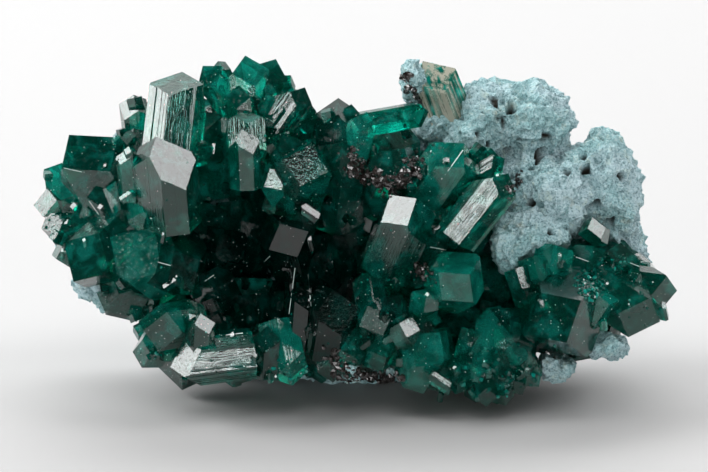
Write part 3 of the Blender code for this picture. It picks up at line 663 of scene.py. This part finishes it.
# small crystals whose clear face mirrors a light: u, v, radius, light, roll
LIGHTS = {"L": (-95, 36), "R": (84, 40), "B": (180, 50)}
FACETS = [(127, 151, 8, "L", 270), (100, 207, 5, "L", 300), (48, 172, 7, "B", 60),
          (163, 234, 3.6, "L", 240), (177, 277, 6, "B", 180), (117, 159, 3, "L", 200),
          (105, 165, 3, "L", 240), (66, 222, 4, "L", 150), (89, 208, 3, "R", 270),
          (84, 240, 3.4, "L", 270), (301, 203, 8, "B", 0),
          (310, 238, 5, "R", 300), (291, 282, 5, "L", 270), (310, 300, 4, "L", 240),
          (330, 265, 8, "R", 330), (358, 298, 3.4, "L", 270), (371, 335, 7, "B", 180),
          (396, 281, 4, "L", 240), (427, 295, 4.6, "L", 200), (498, 322, 4, "L", 270),
          (520, 322, 5, "R", 240), (430, 371, 9, "B", 0), (488, 370, 6, "B", 60),
          (529, 366, 6, "B", 180), (440, 392, 4, "L", 240), (268, 372, 4, "L", 270),
          (312, 378, 5, "L", 200), (255, 355, 4, "R", 270), (226, 316, 4, "B", 0),
          (131, 191, 5, "B", 180), (62, 250, 4, "L", 240), (150, 305, 3.4, "L", 270),
          (232, 335, 5, "L", 180), (372, 145, 4, "L", 270), (447, 160, 4.6, "R", 300),
          (497, 176, 4, "L", 240), (560, 255, 4, "R", 270), (612, 262, 4, "L", 270),
          (664, 305, 6, "R", 300), (633, 252, 7, "B", 0), (545, 262, 4, "L", 240),
          (602, 320, 4, "L", 270), (640, 292, 4, "B", 60), (540, 300, 5, "B", 0)]
tree = tree_of(meshes[MASS])
for k, (iu, iv, r, light, roll) in enumerate(FACETS):
    co, no = ray(tree, iu, iv)
    if co is not None:
        meshes[MASS].append(crystal_mesh(mirror_crystal(
            f"facet{k}", np.array(co) + np.array(TO_EYE) * r * 0.5 * UNIT,
            r * UNIT, *LIGHTS[light], roll)))

cluster = grow_together(meshes[MASS], "dioptase_cluster")
top_right = grow_together(meshes[TOP], "dioptase_top_right")
lone = grow_together(meshes[LONE], "dioptase_on_rock")


# --------------------------------------------------------------- the rock
def lump_mesh(c, r, k):
    bm = bmesh.new()
    bmesh.ops.create_icosphere(bm, subdivisions=4, radius=1.0)
    ax = [to_world(1, 0, 0), to_world(0, 1, 0), to_world(0, 0, 1)]
    for v in bm.verts:
        d = v.co.copy()
        s = 1.0 + 0.18 * noise.noise(d * 1.7 + Vector((3.1 * k, 1.3, 0.7 * k)))
        v.co = Vector(c + s * (d.x * r[0] * ax[0] + d.y * r[1] * ax[1]
                               + d.z * r[2] * ax[2]))
    return bm


# Deep pits seen on the front of the rock, also darkened in colour as painted shade: u, v, radius and
# depth.
PITS = [(512, 108, 7.0, 1.5), (500, 119, 5.0, 1.2), (504, 127, 4.0, 0.9),
        (478, 134, 5.0, 1.0), (494, 100, 3.4, 0.6), (488, 147, 4.0, 0.9),
        (583, 157, 5.0, 1.3), (587, 168, 4.6, 1.2), (567, 173, 4.6, 1.2),
        (622, 178, 4.6, 1.0), (610, 228, 6.0, 1.3), (596, 205, 3.8, 0.8),
        (552, 232, 3.8, 0.8), (540, 152, 6.0, 1.2), (532, 166, 4.6, 1.0)]


def build_rock():
    bm = bmesh.new()
    for k, (u, v, c, ru, rv, rc) in enumerate(ROCK):
        one = lump_mesh(spot(u, v, c), (ru * UNIT, rv * UNIT, rc * 1e-3), k)
        tmp = bpy.data.meshes.new("t")
        one.to_mesh(tmp)
        one.free()
        bm.from_mesh(tmp)
        bpy.data.meshes.remove(tmp)
    me = bpy.data.meshes.new("rock")
    bm.to_mesh(me)
    bm.free()
    ob = add("rock", me)
    m = ob.modifiers.new("skin", "REMESH")
    m.mode, m.voxel_size = "VOXEL", 0.00024
    me = evaluated(ob)
    ob.modifiers.clear()
    ob.data = me
    bm = bmesh.new()
    bm.from_mesh(me)
    for _ in range(2):
        bmesh.ops.smooth_vert(bm, verts=bm.verts, factor=0.5,
                              use_axis_x=True, use_axis_y=True, use_axis_z=True)
    bm.normal_update()
    painted_pore_shade = bm.verts.layers.float.new("painted_pore_shade")
    facing = TO_EYE
    for v in bm.verts:
        w = (v.co - Vector(SHIFT)) * 1000.0
        s = 0.75 * noise.noise(w * 0.30)
        s += 0.85 * (0.24 - abs(noise.noise(w * 0.50 + Vector((5.1, 0, 2)))))
        s += 0.62 * (0.22 - abs(noise.noise(w * 1.05 + Vector((1.7, 4, 0)))))
        s += 0.26 * noise.noise(w * 2.1)
        s += 0.15 * noise.noise(w * 4.3)
        # crumbs
        dist, _ = noise.voronoi(w * 2.2)
        s += 0.17 * (0.40 - dist[0])
        # round pores, a few of them deep
        dist, pts = noise.voronoi(w * 0.62 + Vector((7.7, 1.1, 3.3)))
        big = noise.cell(pts[0] * 3.7)
        reach = 0.20 + 0.20 * abs(big)
        near = dist[0] + 0.12 * noise.noise(w * 2.2)
        hole = max(0.0, 1.0 - near / reach) if big > 0.45 else 0.0
        s -= 0.75 * min(1.0, hole * 1.9) * (0.4 + abs(big))
        dist, pts = noise.voronoi(w * 1.5 + Vector((1.7, 9.1, 5.3)))
        small = noise.cell(pts[0] * 2.9)
        hole2 = max(0.0, 1.0 - dist[0] / 0.36) if small > 0.0 else 0.0
        s -= 0.26 * min(1.0, hole2 * 2.0)
        # painted shade: the colour is darkened inside the pores and pits
        dark = min(1.0, hole * 1.5 + 0.45 * hole2)
        if v.normal.dot(facing) > 0.15:
            u0, v0 = seen(v.co)
            for pu, pv, pr, pd in PITS:
                d = math.hypot(u0 - pu, (v0 - pv) * 0.85)
                d += 2.8 * noise.noise(w * 1.5) + 1.4 * noise.noise(w * 3.7)
                if d < pr:
                    s -= pd * min(1.0, 1.7 * (1 - d / pr))
                    dark = max(dark, min(1.0, 2.0 * (1 - d / pr)))
        v[painted_pore_shade] = dark
        v.co += v.normal * s * 1e-3
    for v in bm.verts:
        if v.co.z < 0.0:
            v.co.z = 0.0
    bm.to_mesh(me)
    bm.free()
    print("rock faces", len(me.polygons))
    return ob


rock = build_rock()


# --------------------------------------------------------- the dark crust
def build_crust(tree):
    rng = random.Random(7)
    bm = bmesh.new()
    paths = [[(350, 156), (354, 166), (362, 175), (372, 180), (382, 185),
              (391, 188), (399, 181), (407, 175), (413, 167), (418, 158)],
             [(418, 268), (425, 272), (433, 281)],
             [(330, 352), (338, 358), (345, 365)],
             [(406, 76), (408, 84), (414, 95), (419, 101)],
             [(508, 200), (514, 188), (518, 176)],
             [(338, 379), (352, 377), (368, 376), (384, 377), (402, 381)]]
    count = [300, 40, 34, 34, 22, 110]
    wide = [5.2, 3.8, 4.4, 3.0, 3.0, 3.6]
    for path, n, w in zip(paths, count, wide):
        for _ in range(n):
            t = rng.uniform(0, len(path) - 1.001)
            i = int(t)
            u = path[i][0] + (path[i + 1][0] - path[i][0]) * (t - i)
            v = path[i][1] + (path[i + 1][1] - path[i][1]) * (t - i)
            u += rng.gauss(0, w)
            v += rng.gauss(0, w)
            co, no = ray(tree, u, v)
            if co is None:
                continue
            r = rng.choice((1.2, 1.7, 2.3, 3.0, 4.2)) * UNIT
            made = bmesh.ops.create_icosphere(bm, subdivisions=1, radius=r)
            sc = Vector([rng.uniform(0.55, 1.25) for _ in range(3)])
            k = Vector([rng.uniform(0, 50) for _ in range(3)])
            for vt in made["verts"]:
                d = vt.co * (1 + 0.75 * noise.noise(vt.co / r * 1.6 + k))
                vt.co = co + no * r * rng.uniform(0.0, 0.15) + Vector(
                    (d.x * sc.x, d.y * sc.y, d.z * sc.z))
    me = bpy.data.meshes.new("crust_grains")
    bm.to_mesh(me)
    bm.free()
    return add("crust_grains", me)


front = tree_of([cluster.data, top_right.data, rock.data])
crust = build_crust(front)


def build_druse(tree, whole):
    """Coats of very small crystals, and single chips in the gaps."""
    rng = random.Random(29)
    verts, faces, tones, axes = [], [], [], []
    # u, v, half width, half height, count, smallest and largest radius
    coats = [(590, 285, 17, 16, 130, 1.0, 2.6), (612, 262, 14, 10, 22, 0.8, 2.0),
             (500, 372, 46, 30, 60, 1.4, 3.6), (428, 112, 10, 6, 16, 0.8, 1.6),
             (150, 352, 12, 10, 14, 1.0, 2.4), (292, 372, 22, 14, 26, 1.0, 2.6),
             (60, 230, 18, 26, 22, 0.9, 2.4), (420, 150, 22, 12, 22, 0.9, 2.2),
             (560, 232, 24, 8, 18, 0.8, 2.2), (640, 300, 24, 26, 16, 0.8, 2.2),
             (350, 230, 300, 170, 150, 0.6, 1.8)]
    for cu, cv, ru, rv, n, lo, hi in coats:
        for _ in range(n):
            a, s = rng.uniform(0, 2 * math.pi), math.sqrt(rng.random())
            u, v = cu + ru * s * math.cos(a), cv + rv * s * math.sin(a)
            co, no = ray(whole, u, v)
            if co is None:
                continue
            own, _ = ray(tree, u, v)
            if own is None or (own - co).length > 1e-5:
                continue
            r = rng.uniform(lo, hi) * UNIT
            d = np.array(no) + np.array([rng.uniform(-1, 1) for _ in range(3)]) * 0.8
            f = small_crystal("chip", np.array(co) + d / np.linalg.norm(d) * r
                              * rng.uniform(0.5, 1.3), d, r, r * 2.6, rng)
            me = crystal_mesh(f)
            k = len(verts)
            verts += [v2.co.copy() for v2 in me.vertices]
            faces += [[i + k for i in p.vertices] for p in me.polygons]
            tones += [rng.random()] * len(me.polygons)
            axes += [tuple(f["A"])] * len(me.polygons)
            bpy.data.meshes.remove(me)
    me = bpy.data.meshes.new("small_crystals")
    me.from_pydata(verts, [], faces)
    at = me.attributes.new("painted_light_and_tone", "FLOAT", "FACE")
    at.data.foreach_set("value", tones)
    me.update()
    print("druse faces", len(me.polygons))
    return add("small_crystals", me)


druse = build_druse(tree_of([cluster.data]), front)


def build_dust_and_highlights(tree, n):
    """Tiny pale grains that lie on the crystals, and pale slivers laid along crystal edges as painted
    highlights.
    """
    rng = random.Random(19)
    bm = bmesh.new()
    made_n = 0
    while made_n < n:
        u, v = rng.uniform(30, 680), rng.uniform(45, 410)
        co, no = ray(tree, u, v)
        if co is None:
            continue
        made_n += 1
        r = rng.choice((0.20, 0.25, 0.30, 0.42)) * UNIT
        made = bmesh.ops.create_icosphere(bm, subdivisions=1, radius=r)
        k = Vector([rng.uniform(0, 50) for _ in range(3)])
        for vt in made["verts"]:
            d = vt.co * (1 + 0.7 * noise.noise(vt.co / r * 1.3 + k))
            vt.co = co + no * r * 0.3 + d
    # painted highlights, pale slivers along crystal edges: both ends in u, v, and half width
    for u1, v1, u2, v2, half in (
            (295, 268, 289, 314, 0.50), (308, 274, 311, 306, 0.45),
            (226, 335, 243, 333, 0.45), (89, 201, 99, 215, 0.35),
            (463, 150, 448, 171, 0.40), (64, 168, 82, 172, 0.25),
            (430, 247, 446, 250, 0.35), (576, 257, 590, 262, 0.35),
            (628, 262, 648, 270, 0.35), (264, 262, 270, 256, 0.40),
            (205, 281, 214, 275, 0.30), (158, 262, 172, 266, 0.25)):
        n = 9
        rows = []
        for i in range(n + 1):
            t = i / n
            co, no = ray(tree, u1 + (u2 - u1) * t, v1 + (v2 - v1) * t)
            if co is not None:
                rows.append((co, no))
        if len(rows) < 2:
            continue
        way = (rows[-1][0] - rows[0][0]).normalized()
        for i in range(len(rows) - 1):
            (p, no), (q, _) = rows[i], rows[i + 1]
            if (q - p).length > 3.5 * (rows[-1][0] - rows[0][0]).length / n:
                continue
            side = way.cross(no).normalized() * half * UNIT
            up = no * 0.5 * half * UNIT
            vs = [bm.verts.new(x) for x in
                  (p - side, p + up, p + side, p - up,
                   q - side, q + up, q + side, q - up)]
            for j in range(4):
                k = (j + 1) % 4
                bm.faces.new((vs[j], vs[k], vs[4 + k], vs[4 + j]))
            bm.faces.new(vs[3::-1])
            bm.faces.new(vs[4:])
    bmesh.ops.recalc_face_normals(bm, faces=bm.faces)
    me = bpy.data.meshes.new("pale_dust_and_highlights")
    bm.to_mesh(me)
    bm.free()
    return add("pale_dust_and_highlights", me)


dust = build_dust_and_highlights(tree_of([cluster.data]), 1000)


# --------------------------------------------------------------- materials
def new_material(name):
    m = bpy.data.materials.new(name)
    m.use_nodes = True
    nt = m.node_tree
    nt.nodes.clear()
    out = nt.nodes.new("ShaderNodeOutputMaterial")
    b = nt.nodes.new("ShaderNodeBsdfPrincipled")
    nt.links.new(b.outputs[0], out.inputs["Surface"])
    return m, nt, b, out


def noise_node(nt, vec, scale, detail=2.0, rough=0.5, dist=0.0):
    n = nt.nodes.new("ShaderNodeTexNoise")
    n.inputs["Scale"].default_value = scale
    n.inputs["Detail"].default_value = detail
    n.inputs["Roughness"].default_value = rough
    n.inputs["Distortion"].default_value = dist
    nt.links.new(vec, n.inputs["Vector"])
    return n.outputs["Fac"]


def voronoi_node(nt, vec, scale, feature="F1", out="Distance"):
    n = nt.nodes.new("ShaderNodeTexVoronoi")
    n.feature = feature
    n.inputs["Scale"].default_value = scale
    nt.links.new(vec, n.inputs["Vector"])
    return n.outputs[out]


def maths(nt, op, a, b=None, clamp=False):
    n = nt.nodes.new("ShaderNodeMath")
    n.operation, n.use_clamp = op, clamp
    for i, x in enumerate((a, b)):
        if x is None:
            continue
        if isinstance(x, (int, float)):
            n.inputs[i].default_value = x
        else:
            nt.links.new(x, n.inputs[i])
    return n.outputs[0]


def vmath(nt, op, a, b=None, scale=None):
    n = nt.nodes.new("ShaderNodeVectorMath")
    n.operation = op
    for i, x in enumerate((a, b)):
        if x is None:
            continue
        if isinstance(x, tuple):
            n.inputs[i].default_value = x
        else:
            nt.links.new(x, n.inputs[i])
    if scale is not None:
        if isinstance(scale, (int, float)):
            n.inputs["Scale"].default_value = scale
        else:
            nt.links.new(scale, n.inputs["Scale"])
    return n.outputs["Value"] if op == "DOT_PRODUCT" else n.outputs["Vector"]


def ranged(nt, x, a, b, c=0.0, d=1.0, smooth=False):
    n = nt.nodes.new("ShaderNodeMapRange")
    n.interpolation_type = "SMOOTHSTEP" if smooth else "LINEAR"
    n.inputs["From Min"].default_value = a
    n.inputs["From Max"].default_value = b
    n.inputs["To Min"].default_value = c
    n.inputs["To Max"].default_value = d
    nt.links.new(x, n.inputs["Value"])
    return n.outputs[0]


def mixed(nt, fac, a, b):
    n = nt.nodes.new("ShaderNodeMix")
    n.data_type = "RGBA"
    for x, s in ((fac, 0), (a, 6), (b, 7)):
        if isinstance(x, tuple):
            n.inputs[s].default_value = (*x, 1.0)
        elif isinstance(x, (int, float)):
            n.inputs[s].default_value = x
        else:
            nt.links.new(x, n.inputs[s])
    return n.outputs[2]


def millimetres(nt):
    tc = nt.nodes.new("ShaderNodeTexCoord")
    return vmath(nt, "SCALE", tc.outputs["Object"], scale=1000.0)


def attribute(nt, name, out):
    n = nt.nodes.new("ShaderNodeAttribute")
    n.attribute_name = name
    return n.outputs[out]


def dioptase(name, film=0.0):
    m, nt, b, out = new_material(name)
    p = millimetres(nt)
    axis = attribute(nt, "axis", "Vector")
    painted_light_and_tone = attribute(nt, "painted_light_and_tone", "Fac")
    kind = attribute(nt, "kind", "Fac")
    # along the c axis the pattern is drawn out
    along = vmath(nt, "SCALE", axis, scale=vmath(nt, "DOT_PRODUCT", p, axis))
    across = vmath(nt, "SUBTRACT", p, along)
    drawn = vmath(nt, "ADD", across, vmath(nt, "SCALE", along, scale=0.06))
    prism = ranged(nt, kind, 0.2, 0.8)
    streak = noise_node(nt, drawn, 5.5, 2.0, 0.65)
    fine = noise_node(nt, p, 4.2, 3.0, 0.62)
    soft = noise_node(nt, p, 0.75, 2.0, 0.55, 0.6)
    # faces carry low growth steps; prism faces are streaked along c
    height = maths(nt, "ADD",
                   maths(nt, "MULTIPLY", maths(nt, "MULTIPLY", streak, prism), 1.7),
                   maths(nt, "MULTIPLY", fine, 0.55))
    bump = nt.nodes.new("ShaderNodeBump")
    bump.inputs["Strength"].default_value = 0.34
    bump.inputs["Distance"].default_value = 0.00004
    nt.links.new(height, bump.inputs["Height"])
    nt.links.new(bump.outputs[0], b.inputs["Normal"])
    # cloudy body: deep green with paler, bluer clouds; the per-crystal tone carries painted shade, near
    # black for crystals in the middle recess, and painted glow, bright teal for exposed crystals
    cloud = ranged(nt, soft, 0.46, 0.70, 0.0, 1.0, True)
    deep = mixed(nt, painted_light_and_tone, (0.000, 0.012, 0.009), (0.001, 0.25, 0.18))
    glow = mixed(nt, painted_light_and_tone, (0.000, 0.05, 0.04), (0.02, 0.85, 0.67))
    col = mixed(nt, cloud, deep, glow)
    # painted glow: the crystals at the glow spots turn bright teal where the clouds are pale
    painted_glow = maths(nt, "MULTIPLY", ranged(nt, painted_light_and_tone, 0.84, 0.90),
                ranged(nt, soft, 0.36, 0.60, 0.35, 1.0, True))
    col = mixed(nt, painted_glow, col, (0.02, 0.80, 0.62))
    # etched patches scatter the mirror image
    etched = ranged(nt, fine, 0.50, 0.66, 0.02, 0.22)
    rough = etched
    if film:
        coat = ranged(nt, noise_node(nt, drawn, 2.2, 3.0, 0.6), 0.40, 0.56, 0.0, film)
        col = mixed(nt, coat, col, (0.52, 0.50, 0.40))
        rough = maths(nt, "ADD", etched, maths(nt, "MULTIPLY", coat, 0.3))
    nt.links.new(col, b.inputs["Base Color"])
    nt.links.new(rough, b.inputs["Roughness"])
    b.inputs["Transmission Weight"].default_value = 0.86 if not film else 0.35
    b.inputs["IOR"].default_value = 1.67
    va = nt.nodes.new("ShaderNodeVolumeAbsorption")
    va.inputs["Color"].default_value = (0.0, 0.72, 0.66, 1)
    va.inputs["Density"].default_value = 720.0
    nt.links.new(va.outputs[0], out.inputs["Volume"])
    return m


def druse_look():
    m, nt, b, out = new_material("dioptase_small_crystals")
    p = millimetres(nt)
    painted_light_and_tone = attribute(nt, "painted_light_and_tone", "Fac")
    n = noise_node(nt, p, 2.5, 2.0)
    dark = mixed(nt, n, (0.0, 0.016, 0.012), (0.0, 0.10, 0.075))
    nt.links.new(mixed(nt, ranged(nt, painted_light_and_tone, 0.60, 1.0), dark, (0.004, 0.24, 0.19)),
                 b.inputs["Base Color"])
    nt.links.new(ranged(nt, n, 0.4, 0.7, 0.03, 0.16), b.inputs["Roughness"])
    b.inputs["IOR"].default_value = 1.67
    return m


def rock_look():
    m, nt, b, out = new_material("rock_blue_grey")
    p = millimetres(nt)
    painted_pore_shade = attribute(nt, "painted_pore_shade", "Fac")
    big = noise_node(nt, p, 0.22, 2.0, 0.5)
    mid = noise_node(nt, p, 1.3, 4.0, 0.65)
    fine = noise_node(nt, p, 5.5, 4.0, 0.72)
    col = mixed(nt, ranged(nt, big, 0.40, 0.62), (0.27, 0.47, 0.49), (0.37, 0.51, 0.55))
    col = mixed(nt, ranged(nt, mid, 0.56, 0.72), col, (0.44, 0.56, 0.51))
    col = mixed(nt, ranged(nt, mid, 0.45, 0.31), col, (0.13, 0.26, 0.27))
    stain = noise_node(nt, p, 0.55, 3.0, 0.6, 0.4)
    col = mixed(nt, ranged(nt, stain, 0.62, 0.74, 0.0, 0.7), col, (0.27, 0.27, 0.20))
    col = mixed(nt, ranged(nt, fine, 0.52, 0.70), col, (0.58, 0.73, 0.74))
    col = mixed(nt, ranged(nt, fine, 0.47, 0.36), col, (0.09, 0.18, 0.19))
    # painted shade: near black inside the pores and pits
    col = mixed(nt, ranged(nt, painted_pore_shade, 0.20, 0.90), col, (0.040, 0.036, 0.028))
    nt.links.new(col, b.inputs["Base Color"])
    b.inputs["Roughness"].default_value = 0.92
    bump = nt.nodes.new("ShaderNodeBump")
    bump.inputs["Strength"].default_value = 0.9
    bump.inputs["Distance"].default_value = 0.00016
    nt.links.new(maths(nt, "ADD", fine, maths(nt, "MULTIPLY", mid, 0.7)),
                 bump.inputs["Height"])
    nt.links.new(bump.outputs[0], b.inputs["Normal"])
    return m


def crust_look():
    m, nt, b, out = new_material("dark_crust_brown")
    p = millimetres(nt)
    n = noise_node(nt, p, 5.0, 4.0, 0.7)
    col = mixed(nt, ranged(nt, n, 0.35, 0.6), (0.004, 0.003, 0.003), (0.020, 0.014, 0.012))
    col = mixed(nt, ranged(nt, n, 0.66, 0.78), col, (0.24, 0.23, 0.22))
    nt.links.new(col, b.inputs["Base Color"])
    nt.links.new(ranged(nt, n, 0.3, 0.7, 0.10, 0.42), b.inputs["Roughness"])
    b.inputs["IOR"].default_value = 1.9
    return m


def dust_and_highlight_look():
    m, nt, b, out = new_material("pale_dust_and_highlights")
    p = millimetres(nt)
    n = noise_node(nt, p, 3.0, 2.0)
    # pale grains, and the same pale colour on the slivers that stand in as painted edge highlights
    nt.links.new(mixed(nt, n, (0.45, 0.70, 0.66), (0.92, 0.94, 0.93)), b.inputs["Base Color"])
    b.inputs["Roughness"].default_value = 0.5
    return m


def dress(ob, mat):
    ob.data.materials.clear()
    ob.data.materials.append(mat)


green = dioptase("dioptase_green")
for ob in (cluster, lone):
    dress(ob, green)
dress(top_right, dioptase("dioptase_coated", 0.9))
dress(rock, rock_look())
brown = crust_look()
dress(crust, brown)
dress(dust, dust_and_highlight_look())
dress(druse, druse_look())

for ob, node, slot in ((cluster, MASS, "dioptase"), (top_right, TOP, "dioptase"),
                       (lone, LONE, "dioptase"), (rock, "matrix", "rock"),
                       (crust, "dark_crust", "crust")):
    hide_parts(node)
    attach(ob, "root")
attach(dust, "root")
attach(druse, "root")

# ------------------------------------------------------------------- stage
bm = bmesh.new()
bmesh.ops.create_grid(bm, x_segments=1, y_segments=1, size=1.5)
me = bpy.data.meshes.new("floor")
bm.to_mesh(me)
bm.free()
floor = add("floor", me)
m, nt, b, out = new_material("floor_white")
b.inputs["Base Color"].default_value = (0.42, 0.42, 0.42, 1)
b.inputs["Roughness"].default_value = 0.7
dress(floor, m)

# ------------------------------------------------------------------ camera
right, up, back = (Vector(to_world(*v)) for v in ((1, 0, 0), (0, 1, 0), (0, 0, 1)))
cam = bpy.data.objects.new("camera", bpy.data.cameras.new("camera"))
cam.matrix_world = Matrix(((right.x, up.x, back.x, EYE_AT.x),
                           (right.y, up.y, back.y, EYE_AT.y),
                           (right.z, up.z, back.z, EYE_AT.z), (0, 0, 0, 1)))
cam.data.sensor_width = 36.0
cam.data.lens = 36.0 * EYE / (708 * UNIT)
cam.data.clip_start, cam.data.clip_end = 0.01, 10.0
COLL.objects.link(cam)
bpy.context.scene.camera = cam

# ------------------------------------------------------------------- light
TARGET = Vector((0, 0, 0.012))


def softbox(name, az, el, dist, sx, sy, radiance, rgb=(1, 1, 1)):
    """az 0 is in front of the piece, 90 to its right."""
    a, e = math.radians(az), math.radians(el)
    d = Vector((math.sin(a) * math.cos(e), -math.cos(a) * math.cos(e), math.sin(e)))
    li = bpy.data.lights.new(name, "AREA")
    li.shape, li.size, li.size_y = "RECTANGLE", sx, sy
    li.energy, li.color = radiance * math.pi * sx * sy, rgb
    ob = bpy.data.objects.new(name, li)
    ob.location = TARGET + d * dist
    ob.rotation_euler = (-d).to_track_quat("-Z", "Y").to_euler()
    COLL.objects.link(ob)
    return ob


softbox("box_left", -95, 36, 0.5, 0.34, 0.30, 9.2)
softbox("box_right", 84, 40, 0.5, 0.24, 0.25, 6.5, (1.0, 0.98, 0.99))
softbox("box_back", 180, 52, 0.6, 0.34, 0.22, 2.0)
softbox("box_low", -4, 3, 0.55, 0.54, 0.06, 11.0)
# soft fills that show in no face
for name, az, el, dist, sx, sy, radiance in (
        ("fill_top", -6, 58, 0.7, 0.5, 0.5, 2.0),
        ("fill_front", 0, 24, 0.8, 0.7, 0.3, 1.3),
        ("fill_rear", 180, 42, 0.42, 0.5, 0.3, 4.6)):
    softbox(name, az, el, dist, sx, sy, radiance).visible_glossy = False

w = bpy.data.worlds.new("studio")
w.use_nodes = True
wt = w.node_tree
wt.nodes.clear()
wo = wt.nodes.new("ShaderNodeOutputWorld")
bg = wt.nodes.new("ShaderNodeBackground")
tc = wt.nodes.new("ShaderNodeTexCoord")
sep = wt.nodes.new("ShaderNodeSeparateXYZ")
wt.links.new(tc.outputs["Generated"], sep.inputs[0])
behind = ranged(wt, sep.outputs["Y"], 0.1, 0.7, 0.02, 1.0, True)
high = ranged(wt, sep.outputs["Z"], 0.35, 0.75, 1.0, 0.25, True)
strength = maths(wt, "MULTIPLY", behind, high)
lp = wt.nodes.new("ShaderNodeLightPath")
mix = wt.nodes.new("ShaderNodeMix")
mix.data_type = "FLOAT"
wt.links.new(lp.outputs["Is Camera Ray"], mix.inputs[0])
wt.links.new(strength, mix.inputs[2])
mix.inputs[3].default_value = 1.0
wt.links.new(mix.outputs[0], bg.inputs["Strength"])
wt.links.new(bg.outputs[0], wo.inputs[0])
bpy.context.scene.world = w

bpy.context.scene.view_settings.view_transform = "Standard"
cy = bpy.context.scene.cycles
cy.max_bounces, cy.transmission_bounces = 9, 8
cy.glossy_bounces, cy.diffuse_bounces, cy.volume_bounces = 4, 2, 0
cy.caustics_reflective = False

# --------------------------------------------------------------------- end
bpy.context.view_layer.update()
